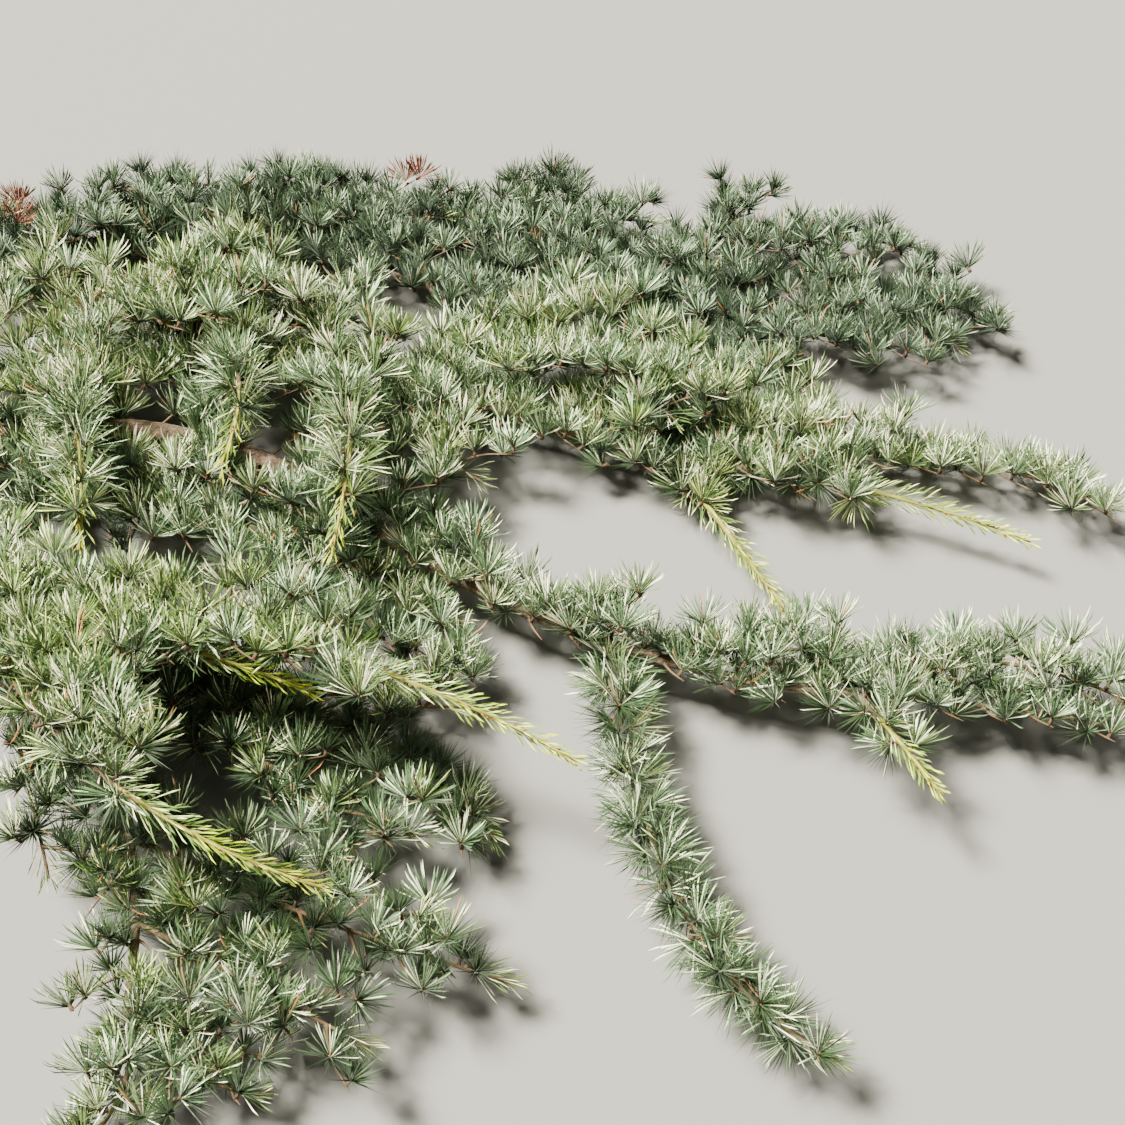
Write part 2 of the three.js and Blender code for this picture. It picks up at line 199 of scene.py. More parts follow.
# Two stretches of the middle bough that bear no tufts below a height, as places on the floor
BARE_PATCHES = [(-160, 98), (-84, 77)]
BARE_RANGE = 25
BARE_TOP = 62

# Drawing of the wood, and the turn from each small form to the next
RING_STEP = 4
STEM_SIDES = 6
SHOOT_SIDES = 4
STEM_CUSHIONS = 0.07
SHOOT_CUSHIONS = 0.05
SKIN_TAPER = 0.7
COLLAR = 0.5
COLLAR_LENGTH = 4
TIP_LENGTH = 6
TIP_BLUNT = 0.45
LIMB_RING = 5
LIMB_COLLAR = 0.2
BARK_RIM = 0.0013
SAW_DEPTH = 0.0003
PEG_TURN = 1.3
NEEDLE_TURN = 2.1
MOST_TRIANGLES = 190000

# Tints of needles: the main sides, and the pale side that carries the bloom and a painted highlight
TINTS = {
    "pale": ("667e48", "faface"),
    "blue": ("506c46", "e4f2c2"),
    # The darkest green is painted shade, for needles under other wood or turned down
    "deep_shade": ("2a3e1e", "96ae6c"),
    "green": ("5e7a36", "e4ee9c"),
    "fresh": ("728c14", "bccc30"),
    "lime": ("8fa20c", "ccd21c"),
    # The two tints of the back bough are painted shade: its needles, made darker and bluer
    "shade": ("2e4029", "748866"),
    "half_shade": ("465c3e", "a2b692"),
    "dead": ("a5673a", "c48c56"),
    "rust": ("7d4530", "98603f"),
}
TINT_NAMES = list(TINTS)
YOUNG = ("fresh", "lime")

# The tints of painted shade, whose needles are drawn with a single taper
SLIM = ("deep_shade", "shade")

# The tint of the needles with painted shade in a tuft of each tint, where it isn't the darkest
# green
DARKER = dict(half_shade="shade", shade="shade", rust="rust")

# How the tints are dealt out to the tufts of each part of the bough. The darkest green is painted
# shade, dealt most to the lower bough.
SHARES = {
    "sawn": dict(pale=0.3, blue=0.4, deep_shade=0.3),
    "middle": dict(pale=0.3, blue=0.54, deep_shade=0.16),
    "upper": dict(pale=0.5, blue=0.34, deep_shade=0.06, green=0.1),
    # The back bough has only its two tints of painted shade
    "back": dict(half_shade=0.6, shade=0.4),
    "lower": dict(pale=0.14, blue=0.4, deep_shade=0.36, green=0.1),
    "front": dict(pale=0.45, blue=0.25, green=0.3),
}

# The tints of single needles, from the first to the last
FRESH_TINTS = ["pale", "green", "green", "fresh", "fresh", "lime"]


# How a line leaves the wood it grows on: the share along that wood, the heading, which turns from
# +X towards +Y, the rise from level, the length, and the bend and lift, which are what heading and
# rise gain up to the tip. Angles are in degrees.
def sweep(at, heading, rise, length, bend, lift, **rest):
    return dict(at=at, heading=heading, rise=rise, length=length, bend=bend, lift=lift, **rest)


# Boughs, with the bough that each is on and its radius at both ends. "fine" shortens the needles
# that a bough carries.
LIMBS = {
    "sawn_limb": sweep(0, 0, 0, 260, 9, 6, radius=(11, 8)),
    "middle_bough_inner": sweep(1, 4, 2, 255, -46, -4, on="sawn_limb", radius=(7.4, 5.5)),
    "middle_bough_outer": sweep(1, -38, 0, 350, 34, 0, on="middle_bough_inner", radius=(5.2, 2.4)),
    "upper_bough_inner": sweep(0.57, 28, 8, 360, -38, -14, on="sawn_limb", radius=(5.6, 4.2)),
    "upper_bough_outer": sweep(1, -12, -4, 220, -12, 0, on="upper_bough_inner", radius=(4, 2.3)),
    "back_bough_inner": sweep(
        0.3, 80, 0, 265, -58, -2, on="sawn_limb", radius=(6.2, 4.8), fine=0.85,
    ),
    "back_bough_outer": sweep(
        1, 14, -2, 440, -34, 2, on="back_bough_inner", radius=(4.6, 2.2), fine=0.85,
    ),
    "lower_bough_inner": sweep(0.5, -58, 4, 210, 18, 0, on="sawn_limb", radius=(5.8, 4.8)),
    "lower_bough_outer": sweep(1, -36, 2, 260, -60, -8, on="lower_bough_inner", radius=(4.6, 2.3)),
    "front_bough": sweep(0.66, -76, 28, 250, 52, -20, on="sawn_limb", radius=(4.8, 2.6)),
    "small_bough": sweep(0.06, -36, -4, 145, 12, 2, on="middle_bough_inner", radius=(3.6, 2.3)),
}

# Sprays of each bough, told like the boughs. "twigs" is how many side twigs are tried, "fresh" is
# the share from which the spray is this year's shoot, "tufted" the share up to which tufts still
# stand on it, "round" has needles all round it, and "late" puts more of the bend near the tip.
SPRAYS = {
    "sawn_limb": {
        "sawn_spray_2": sweep(0.1, 84, 4, 225, 0, -8, twigs=4),
        "sawn_spray_1": sweep(0.12, -48, -4, 190, -8, 4, twigs=3),
        "sawn_spray_3": sweep(0.24, -18, 44, 125, 18, -32),
    },
    "middle_bough_inner": {
        "middle_spray_dark": sweep(0.57, -72, -8, 100, 38, 8),
    },
    "middle_bough_outer": {
        "middle_spray_1": sweep(0.07, 14, 36, 75, -68, -52),
        "middle_spray_2": sweep(0.33, -36, 28, 85, 52, -36),
        "middle_spray_hanging": sweep(0.5, -84, 6, 305, 60, -12, late=2, round=True),
        "middle_spray_4": sweep(0.6, 2, 16, 125, -4, -24),
        "middle_spray_5": sweep(0.88, 20, 12, 215, -48, -24),
        "middle_spray_6": sweep(0.96, -72, 40, 90, 16, -46, fresh=0.3, tufted=0.74),
        "middle_spray_tip": sweep(1, -4, 0, 175, -8, -4),
    },
    "upper_bough_inner": {
        "upper_spray_left": sweep(0.12, 96, 28, 160, -84, -32, twigs=1),
        "upper_spray_2": sweep(0.25, 48, 24, 235, -56, -32, twigs=3),
        "nodding_spray_3": sweep(0.35, -54, 48, 180, -36, -68, fresh=0.5, tufted=0.88),
        "upper_spray_3": sweep(0.45, 32, 12, 200, -40, -20, twigs=2),
        "nodding_spray_1": sweep(0.66, -40, 60, 135, -74, -84, fresh=0.5, tufted=0.74),
        "nodding_spray_2": sweep(0.9, -68, 52, 190, -36, -80, fresh=0.5, tufted=0.82),
        "upper_spray_droop": sweep(0.97, -68, 8, 120, 38, -12),
    },
    "upper_bough_outer": {
        "upper_spray_4": sweep(0.05, 20, 12, 230, -48, -20, twigs=2),
        "upper_spray_5": sweep(0.65, 16, 10, 170, -26, -18),
        "upper_spray_low": sweep(0.88, -8, 8, 260, -16, -12, fresh=0.5),
        "upper_spray_hanging": sweep(0.97, -64, 12, 140, 8, -20, fresh=0.1),
        "upper_spray_tip": sweep(1, 18, 0, 300, -46, 0),
    },
    "back_bough_inner": {
        "back_spray_root": sweep(0.47, 96, 14, 135, -56, -16, twigs=2),
        "back_spray_1": sweep(0.65, 34, 26, 145, -12, -36),
    },
    "back_bough_outer": {
        "back_spray_2": sweep(0.04, 24, 14, 190, -40, -22, twigs=2),
        "back_spray_3": sweep(0.25, 8, 14, 190, -14, -22, twigs=1),
        "back_spray_4": sweep(0.33, -34, 12, 255, 28, -20, twigs=2),
        "back_spray_5": sweep(0.65, 6, 16, 170, -8, -24, twigs=1),
        "back_spray_6": sweep(0.71, -36, 16, 175, 8, -20),
        "back_spray_10": sweep(0.9, -38, 4, 205, 6, -8),
        "back_spray_7": sweep(0.95, 16, 10, 245, -24, -18, twigs=2),
        "back_spray_9": sweep(0.98, -40, 12, 245, 42, -20),
        "back_spray_tip": sweep(1, -6, 4, 275, -4, -6, twigs=2),
    },
    "lower_bough_inner": {
        "lower_spray_6": sweep(0.88, -64, 16, 185, -8, -28),
    },
    "lower_bough_outer": {
        "lower_spray_under": sweep(0.13, 16, -12, 320, -70, 16, twigs=3),
        "lower_spray_7": sweep(0.23, 32, -8, 175, -76, 6),
        "lower_spray_1": sweep(0.3, 6, 8, 230, -72, -20, twigs=1),
        "lower_spray_2": sweep(0.6, -28, 8, 250, 16, -22),
        "lower_spray_3": sweep(0.8, -30, 16, 160, 6, -36),
        "lower_spray_5": sweep(0.94, -68, -4, 105, 62, 0),
        "lower_spray_tip": sweep(1, -64, -4, 100, -100, -4),
    },
    "front_bough": {
        "front_spray_3": sweep(0.65, -70, 20, 340, 56, -32, twigs=1, fresh=0.6),
        "front_spray_4": sweep(0.8, -48, 8, 125, 20, -16),
        "front_spray_1": sweep(0.86, -18, 4, 190, 0, -12, fresh=0.55),
        "front_spray_tip": sweep(1, -4, 8, 320, -24, -20, fresh=0.55),
    },
    "small_bough": {
        "small_spray_tip": sweep(1, -30, 0, 170, 8, -4),
    },
}


# Chance, the same at every run
def chance(seed):
    state = seed
    while True:
        state = (state * 1664525 + 1013904223) % 4294967296
        yield state / 4294967296


def mix(start, end, share):
    return start + (end - start) * share


def unit(way):
    return way / np.linalg.norm(way, axis=-1, keepdims=True)


# Unit direction from a heading and a rise in degrees
def aim(heading, rise):
    yaw = math.radians(heading)
    pitch = math.radians(rise)
    flat = math.cos(pitch)
    return np.array([flat * math.cos(yaw), flat * math.sin(yaw), math.sin(pitch)])


# The line of a limb, stem or twig: points that follow its turning direction, with radii
def trace(start, arc, radius):
    steps = max(3, math.floor(arc["length"] / LINE_STEP + 0.5))
    bow = arc.get("late", 1)

    def toward(share):
        return aim(arc["heading"] + arc["bend"] * share**bow, arc["rise"] + arc["lift"] * share)

    points = []
    point = np.array(start, float)
    for k in range(steps + 1):
        points.append(point.copy())
        point = point + toward((k + 0.5) / steps) * (arc["length"] / steps)
        point[2] = max(point[2], FLOOR_STEM)
    shares = np.linspace(0, 1, steps + 1)
    along = np.array([toward(share) for share in shares])
    return dict(
        point=np.array(points), along=along, radius=mix(radius[0], radius[1], shares),
        length=arc["length"],
    )


# Point, direction and radius at a share of a line
def pick(line, share):
    place = share * (len(line["radius"]) - 1)
    k = min(int(place), len(line["radius"]) - 2)
    rest = place - k
    point = mix(line["point"][k], line["point"][k + 1], rest)
    along = unit(mix(line["along"][k], line["along"][k + 1], rest))
    return point, along, mix(line["radius"][k], line["radius"][k + 1], rest)


# The same line drawn smoothly, in steps of a given length
def refine(line, step):
    legs = len(line["radius"]) - 1
    count = max(2, round(line["length"] / step / legs))
    points = []
    ways = []
    radii = []
    for k in range(legs):
        start = line["point"][k]
        end = line["point"][k + 1]
        chord = np.linalg.norm(end - start)
        leave = line["along"][k] * chord
        arrive = line["along"][k + 1] * chord
        for i in range(count + (k == legs - 1)):
            t = i / count
            spot = (2 * t**3 - 3 * t**2 + 1) * start + (3 * t**2 - 2 * t**3) * end
            spot = spot + (t**3 - 2 * t**2 + t) * leave + (t**3 - t**2) * arrive
            points.append(spot)
            ways.append(unit(mix(line["along"][k], line["along"][k + 1], t)))
            radii.append(mix(line["radius"][k], line["radius"][k + 1], t))
    return dict(
        point=np.array(points), along=np.array(ways), radius=np.array(radii),
        length=line["length"],
    )


# Two directions across a line
def across(along):
    side = unit(np.cross(UP, along))
    return side, np.cross(along, side)


# The way out of a line, at a turn round it
def outward(along, turn):
    side, over = across(along)
    return side * np.cos(turn) + over * np.sin(turn)


# Wood as short straight pieces, to measure room with
class Wood:
    def __init__(self):
        self.start = []
        self.span = []
        self.radius = []
        self.owner = []

    def add(self, owner, line):
        for k in range(1, len(line["radius"])):
            self.start.append(line["point"][k - 1])
            self.span.append(line["point"][k] - line["point"][k - 1])
            self.radius.append((line["radius"][k - 1] + line["radius"][k]) / 2)
            self.owner.append(owner)

    # Distance from a spot to the middle line of every piece
    def reach(self, spot):
        span = np.array(self.span)
        way = spot - np.array(self.start)
        share = np.clip((way * span).sum(1) / (span * span).sum(1), 0, 1)
        return np.linalg.norm(way - span * share[:, None], axis=1)

    # Distance to the nearest wood of other owners
    def other(self, spot, owner):
        far = self.reach(spot)
        foreign = [far[k] for k, name in enumerate(self.owner) if name != owner]
        return min(foreign, default=math.inf)

    # Distance to the nearest skin
    def skin(self, spot):
        return (self.reach(spot) - np.array(self.radius)).min()


def trace_limbs():
    lines = {}
    for name, arc in LIMBS.items():
        start = pick(lines[arc["on"]], arc["at"])[0] if "on" in arc else SAWN_END
        lines[name] = trace(start, arc, arc["radius"])
    return lines


# Side twigs of one spray: they alternate, open forward and bend on towards the tip.
# A twig that comes too near other wood is tried shorter, then left out.
def grow_twigs(spray, limbs, sprays):
    twigs = []
    name, arc, stem, dice = (spray[key] for key in ("name", "arc", "stem", "dice"))
    count = arc.get("twigs", 0)
    for i in range(count):
        share = mix(TWIG_FIRST, TWIG_LAST, (i + next(dice)) / count)
        side = 1 if i % 2 == 0 else -1
        spread = side * (TWIG_SPREAD + TWIG_STRAY * (next(dice) - 0.5))
        longest = min(TWIG_LONGEST, TWIG_REACH * arc["length"])
        full = longest * mix(1.1, 0.6, share) * mix(0.8, 1.2, next(dice))
        lean = mix(*TWIG_LEAN, next(dice))
        base, along = pick(stem, share)[:2]
        heading = math.degrees(math.atan2(along[1], along[0])) + spread
        rise = math.degrees(math.asin(along[2])) * 0.6 + lean
        for length in (full, full * SHRINK):
            if length < TWIG_SHORTEST:
                break
            turn = sweep(share, heading, rise, length, -side * TWIG_BEND, -lean)
            line = trace(base, turn, (TWIG_BASE, TWIG_TIP))
            spots = line["point"][1:]
            free = all(
                sprays.other(spot, name) > TWIG_ROOM and limbs.skin(spot) > TWIG_ROOM * 0.6
                for spot in spots
            )
            if free:
                twigs.append(line)
                break
    return twigs


# All stems are traced first, then all twigs
def trace_sprays(limb_lines):
    limbs = Wood()
    for name, line in limb_lines.items():
        limbs.add(name, line)
    wood = Wood()
    sprays = []
    for limb, rows in SPRAYS.items():
        for name, arc in rows.items():
            dice = chance(SEED_STEP * (len(sprays) + 1))
            line = trace(pick(limb_lines[limb], arc["at"])[0], arc, (STEM_BASE, STEM_TIP))
            sprays.append(dict(name=name, limb=limb, arc=arc, dice=dice, stem=line))
            wood.add(name, line)
    for spray in sprays:
        spray["twigs"] = grow_twigs(spray, limbs, wood)
        for twig in spray["twigs"]:
            wood.add(spray["name"], twig)
    return sprays


# Points along all wood, each with its owner, and the tips of the finer shoots grown so far, for
# shoots and needles to keep clear of
class Room:
    def __init__(self, limb_lines, sprays):
        self.points = []
        self.radii = []
        self.owners = []
        self.tips = []
        for name, line in limb_lines.items():
            self.add(name, line)
        for spray in sprays:
            for line in (spray["stem"], *spray["twigs"]):
                self.add(spray["name"], line)
        self.tree = KDTree(len(self.points))
        self.plan = KDTree(len(self.points))
        for index, point in enumerate(self.points):
            self.tree.insert(Vector(point), index)
            self.plan.insert(Vector((point[0], point[1], 0)), index)
        self.tree.balance()
        self.plan.balance()

    def add(self, owner, line):
        fine = refine(line, RING_STEP)
        self.points.extend(fine["point"])
        self.radii.extend(fine["radius"])
        self.owners.extend([owner] * len(fine["radius"]))

    # Whether wood stands well above a spot, so that its needles get painted shade
    def covers(self, spot):
        over = self.plan.find_range(Vector((spot[0], spot[1], 0)), COVER_RANGE)
        return any(self.points[index][2] > spot[2] + COVER_RISE for _, index, _ in over)

    # Whether the tip of a shoot has room, and is near enough to other wood to fill a gap
    def suits(self, tip, length, owner, reach):
        near = [
            far for _, index, far in self.tree.find_range(Vector(tip), reach)
            if self.owners[index] != owner
        ]
        closest = min(near, default=math.inf)
        crowd = min((np.linalg.norm(tip - spot) for spot in self.tips), default=math.inf)
        fits = closest < reach or length <= SHOOT_SHORT
        return closest > SHOOT_ROOM and crowd > SHOOT_APART and fits and tip[2] > FLOOR_STEM


# The line of a finer shoot, which bends on towards the tip of the wood it grows on
def shoot_line(base, way, along, length):
    bow = unit(way + along * 0.5)
    points = np.array([base, base + way * length * 0.5, base + (way + bow) * length * 0.5])
    return dict(
        point=points, along=np.array([way, unit(way + bow), bow]),
        radius=np.array([SHOOT_RADIUS[0], 1.0, SHOOT_RADIUS[1]]), length=length,
    )


# Finer side shoots of a limb, stem or twig, each as long as the sprays round it leave it room
def grow_shoots(owner, line, until, longest, reach, dice, room):
    shoots = []
    place = SHOOT_STEP * mix(0.6, 1.2, next(dice))
    side = 1
    while place < line["length"] * until - SHOOT_END:
        base, along = pick(line, place / line["length"])[:2]
        over, lift = across(along)
        way = unit(along * 0.8 + over * side + lift * 0.15 + SKY * mix(0, 0.5, next(dice)))
        full = longest * mix(0.7, 1.1, next(dice))
        for length in (full, full * SHRINK, min(full, SHOOT_SHORT)):
            tip = base + way * length
            if room.suits(tip, length, owner, reach):
                room.tips.append(tip)
                shoots.append(shoot_line(base, way, along, length))
                break
        side = -side
        place += SHOOT_STEP * mix(0.75, 1.25, next(dice))
    return shoots


def linear(hex_colour):
    steps = []
    for k in (0, 2, 4):
        value = int(hex_colour[k:k + 2], 16) / 255
        steps.append(value / 12.92 if value <= 0.04045 else ((value + 0.055) / 1.055) ** 2.4)
    return (*steps, 1.0)


def new_finish(name, roughness, specular=0.5):
    finish = bpy.data.materials.new(name)
    finish.use_nodes = True
    shader = finish.node_tree.nodes["Principled BSDF"]
    shader.inputs["Roughness"].default_value = roughness
    shader.inputs["Specular IOR Level"].default_value = specular
    return finish, shader


# A finish of one plain colour, for small joined things
def plain_finish(name, hex_colour, roughness, sheen=0.0):
    finish, shader = new_finish(name, roughness, 0.35)
    shader.inputs["Base Color"].default_value = linear(hex_colour)
    shader.inputs["Sheen Weight"].default_value = sheen
    return finish


# A node with the values of its inputs, and its own settings
def new_node(finish, kind, inputs=None, **settings):
    node = finish.node_tree.nodes.new(kind)
    for key, value in settings.items():
        setattr(node, key, value)
    for socket, value in (inputs or {}).items():
        node.inputs[socket].default_value = value
    return node


def wire(finish, source, output, target, socket):
    finish.node_tree.links.new(source.outputs[output], target.inputs[socket])


# A ramp from stops of a place and a colour, fed by a texture
def new_ramp(finish, texture, stops):
    ramp = new_node(finish, "ShaderNodeValToRGB")
    elements = ramp.color_ramp.elements
    while len(elements) < len(stops):
        elements.new(0.5)
    for element, (place, hex_colour) in zip(elements, stops):
        element.position = place
        element.color = linear(hex_colour)
    wire(finish, texture, "Fac", ramp, "Fac")
    return ramp


# Fine relief in a finish, from the output of a node
def add_bump(finish, source, output, shader, strength, depth):
    bump = new_node(finish, "ShaderNodeBump", dict(Strength=strength, Distance=depth))
    wire(finish, source, output, bump, "Height")
    wire(finish, bump, "Normal", shader, "Normal")


# Grey-brown bark: flaky plates over a paler ground, with lichen-grey flecks
def bark_finish(name, plates, flecks):
    finish, shader = new_finish(name, 0.9, 0.25)
    place = new_node(finish, "ShaderNodeTexCoord")
    broad = new_node(finish, "ShaderNodeTexNoise", dict(Scale=160, Detail=6, Roughness=0.65))
    cells = new_node(finish, "ShaderNodeTexVoronoi", dict(Scale=420))
    grain = new_node(finish, "ShaderNodeTexNoise", dict(Scale=1400, Detail=3))
    for texture in (broad, cells, grain):
        wire(finish, place, "Object", texture, "Vector")
    blend = new_node(
        finish, "ShaderNodeMix", dict(Factor=0.75), data_type="RGBA", blend_type="MULTIPLY"
    )
    wire(finish, new_ramp(finish, broad, plates), "Color", blend, "A")
    wire(finish, new_ramp(finish, grain, flecks), "Color", blend, "B")
    wire(finish, blend, "Result", shader, "Base Color")
    raised = new_node(finish, "ShaderNodeMath", operation="ADD")
    wire(finish, cells, "Distance", raised, 0)
    wire(finish, grain, "Fac", raised, 1)
    add_bump(finish, raised, "Value", shader, 0.5, 0.0006)
    return finish


# Fresh sawn wood: fine growth rings round the pith, with a darker heart
def sawn_finish():
    finish, shader = new_finish("sawn_wood", 0.7)
    place = new_node(finish, "ShaderNodeTexCoord")
    centre = new_node(
        finish, "ShaderNodeMapping", dict(Location=[-value for value in SAWN_END * MM])
    )
    wire(finish, place, "Object", centre, "Vector")
    rings = new_node(
        finish, "ShaderNodeTexWave", dict(Scale=210, Distortion=1.2, Detail=3),
        wave_type="RINGS", rings_direction="X",
    )
    wire(finish, centre, "Vector", rings, "Vector")
    tones = new_ramp(finish, rings, ((0.15, "b98a5c"), (0.6, "dcbf92"), (1.0, "e6d2ac")))
    wire(finish, tones, "Color", shader, "Base Color")
    add_bump(finish, rings, "Fac", shader, 0.2, 0.0003)
    return finish


# The finishes of needles, by tint
def needle_finishes():
    finishes = {}
    for tint, (main, bloom_highlight) in TINTS.items():
        finishes[tint] = [
            plain_finish("needle_" + tint, main, 0.5, 0.1),
            # The pale finish is the bloom with a painted highlight
            plain_finish("needle_" + tint + "_bloom", bloom_highlight, 0.55, 0.2),
        ]
    return finishes


# Finishes of the limbs, the twigs and the buds
def wood_finishes():
    return dict(
        bark=bark_finish(
            "limb_bark",
            ((0.3, "3f342b"), (0.45, "6b5a49"), (0.58, "8a7761"), (0.75, "a89a86")),
            ((0.35, "8c8278"), (0.6, "ffffff")),
        ),
        sawn=sawn_finish(),
        old=plain_finish("twig_old", "5f4c3a", 0.85),
        young=plain_finish("twig_young", "635037", 0.75),
        # A darker twig finish for the back bough, as painted shade
        shaded=plain_finish("twig_shaded", "54483a", 0.8),
        fresh=plain_finish("twig_fresh", "94923a", 0.6),
        spur=plain_finish("spur_bark", "523f2e", 0.9),
        bud=plain_finish("bud_scales", "945c34", 0.7),
    )


def select_only(piece):
    bpy.ops.object.select_all(action="DESELECT")
    piece.select_set(True)
    bpy.context.view_layer.objects.active = piece


# Puts a piece's place, turn and size into its mesh
def settle(piece):
    select_only(piece)
    bpy.ops.object.transform_apply(location=True, rotation=True, scale=True)


def edit_with(piece, kind, wanted):
    select_only(piece)
    bpy.context.tool_settings.mesh_select_mode = (kind == "VERT", kind == "EDGE", kind == "FACE")
    bpy.ops.object.mode_set(mode="EDIT")
    bpy.ops.mesh.select_all(action="DESELECT")
    bpy.ops.object.mode_set(mode="OBJECT")
    mesh = piece.data
    members = dict(VERT=mesh.vertices, EDGE=mesh.edges, FACE=mesh.polygons)[kind]
    for member in members:
        member.select = wanted(member)
    bpy.ops.object.mode_set(mode="EDIT")


def leave_edit():
    bpy.ops.object.mode_set(mode="OBJECT")


def apply_modifier(piece, kind, **settings):
    select_only(piece)
    modifier = piece.modifiers.new(kind.lower(), kind)
    for key, value in settings.items():
        setattr(modifier, key, value)
    bpy.ops.object.modifier_apply(modifier=modifier.name)


# A cone or peg on +Z that starts at a height
def add_cone(sides, foot, top, start, length):
    bpy.ops.object.select_all(action="DESELECT")
    bpy.ops.mesh.primitive_cone_add(
        vertices=sides, radius1=foot, radius2=top, depth=length,
        location=(0, 0, start + length / 2), end_fill_type="NGON",
    )
    cone = bpy.context.object
    settle(cone)
    return cone


# A three-sided needle one unit long on +Z: widest near its short tip, and drawn in to its root
def model_needle():
    needle = add_cone(3, 0.55, 0, NEEDLE_BELLY, 1 - NEEDLE_BELLY)
    edit_with(needle, "FACE", lambda face: face.normal.z < -0.9)
    bpy.ops.mesh.poke()
    leave_edit()
    edit_with(
        needle, "VERT",
        lambda corner: corner.co.z < NEEDLE_BELLY + 0.01 and corner.co.xy.length < 0.1,
    )
    bpy.ops.transform.translate(value=(0, 0, -NEEDLE_BELLY))
    bpy.ops.mesh.select_all(action="SELECT")
    bpy.ops.mesh.normals_make_consistent(inside=False)
    leave_edit()
    return needle


# A needle that grows in shade, with a single taper from its root to its tip
def model_slim_needle():
    needle = add_cone(3, 0.6, 0, 0, 1)
    edit_with(needle, "VERT", lambda corner: corner.co.z > 0.5)
    bpy.ops.transform.translate(value=(-0.6, 0, 0))
    leave_edit()
    return needle


# A bud or spur as a small form one unit long on +Z, drawn in to its top
def model_peg(sides, foot, top):
    peg = add_cone(sides, foot, top, 0, 1)
    edit_with(peg, "FACE", lambda face: True)
    bpy.ops.mesh.quads_convert_to_tris()
    leave_edit()
    return peg


# The corners and faces of a small model, which is then put away
def pattern_of(model, pale=lambda face: False):
    mesh = model.data
    corners = np.array([tuple(vertex.co) for vertex in mesh.vertices])
    faces = np.array([tuple(face.vertices) for face in mesh.polygons])
    finish = np.array([int(pale(face)) for face in mesh.polygons])
    bpy.data.objects.remove(model)
    bpy.data.meshes.remove(mesh)
    return dict(corners=corners, faces=faces, finish=finish)


# Turns that stand a pattern along each way, with its length and width
def stands(ways, lengths, widths, spins):
    helper = np.where(np.abs(ways[:, 2:]) < 0.9, UP, np.array([1.0, 0.0, 0.0]))
    side = unit(np.cross(helper, ways))
    over = np.cross(ways, side)
    turned = side * np.cos(spins)[:, None] + over * np.sin(spins)[:, None]
    lifted = np.cross(ways, turned)
    return np.stack(
        [turned * widths[:, None], lifted * widths[:, None], ways * lengths[:, None]], axis=2
    )


# Copies of a pattern joined into one set of corners, faces and finishes
def scatter(pattern, roots, turns, bows=None):
    count = len(roots)
    corners = np.einsum("nij,pj->npi", turns, pattern["corners"]) + roots[:, None, :]
    if bows is not None:
        height = pattern["corners"][:, 2]
        curve = height * (1 - height) * 4
        corners = corners + bows[:, None, :] * curve[None, :, None]
    size = len(pattern["corners"])
    faces = pattern["faces"][None] + (np.arange(count) * size)[:, None, None]
    return dict(
        corners=corners.reshape(-1, 3), faces=faces.reshape(-1, 3),
        finish=np.tile(pattern["finish"], count),
    )


def join(parts):
    corners = np.concatenate([part["corners"] for part in parts])
    offsets = np.cumsum([0] + [len(part["corners"]) for part in parts[:-1]])
    faces = np.concatenate([part["faces"] + start for part, start in zip(parts, offsets)])
    finish = np.concatenate([part["finish"] for part in parts])
    return dict(corners=corners, faces=faces, finish=finish)


# A piece made from joined corners and faces, given in millimetres
def make_piece(name, joined, finishes, smooth=False):
    mesh = bpy.data.meshes.new(name)
    faces = joined["faces"]
    mesh.vertices.add(len(joined["corners"]))
    mesh.vertices.foreach_set("co", (joined["corners"] * MM).astype(np.float32).ravel())
    mesh.loops.add(faces.size)
    mesh.loops.foreach_set("vertex_index", faces.astype(np.int32).ravel())
    mesh.polygons.add(len(faces))
    mesh.polygons.foreach_set("loop_start", np.arange(0, faces.size, 3, dtype=np.int32))
    mesh.polygons.foreach_set("material_index", joined["finish"].astype(np.int32))
    mesh.polygons.foreach_set("use_smooth", np.full(len(faces), smooth))
    for finish in finishes:
        mesh.materials.append(finish)
    mesh.update(calc_edges=True)
    piece = bpy.data.objects.new(name, mesh)
    bpy.context.scene.collection.objects.link(piece)
    return piece


# Gives a piece its body, and hides the solids it stands for
def enter(piece, nodes):
    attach(piece, "root")
    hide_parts(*nodes)


# A closed round skin along a line, with leaf cushions raised on it in a spiral
def skin(line, sides, cushions, finish_of):
    fine = refine(line, RING_STEP)
    count = len(fine["radius"])
    places = np.linspace(0, line["length"], count)
    radius = fine["radius"] * mix(1, SKIN_TAPER, places / line["length"])
    radius = radius * (1 + COLLAR * np.exp(-places / COLLAR_LENGTH))
    radius = radius * np.clip((line["length"] - places) / TIP_LENGTH + TIP_BLUNT, 0, 1)
    turns = np.arange(sides) * 2 * math.pi / sides
    checks = np.arange(count)[:, None] + np.arange(sides)[None, :]
    ripple = 1 + cushions * np.cos(math.pi * checks)
    wide = radius[:, None] * ripple
    out = outward(fine["along"][:, None, :], turns[None, :, None])
    corners = (fine["point"][:, None, :] + wide[:, :, None] * out).reshape(-1, 3)
    start_cap = fine["point"][0]
    end_cap = fine["point"][-1] + fine["along"][-1] * radius[-1]
    corners = np.concatenate([corners, [start_cap, end_cap]])
    faces = []
    finish = []
    last = (count - 1) * sides
    for i in range(sides):
        for k in range(count - 1):
            a = k * sides + i
            b = k * sides + (i + 1) % sides
            faces += [(a, b, b + sides), (a, b + sides, a + sides)]
            finish += [finish_of(k / count)] * 2
        a = (i + 1) % sides
        faces += [(a, i, count * sides), (last + i, last + a, count * sides + 1)]
        finish += [finish_of(0), finish_of(1)]
    return dict(corners=corners, faces=np.array(faces), finish=np.array(finish))


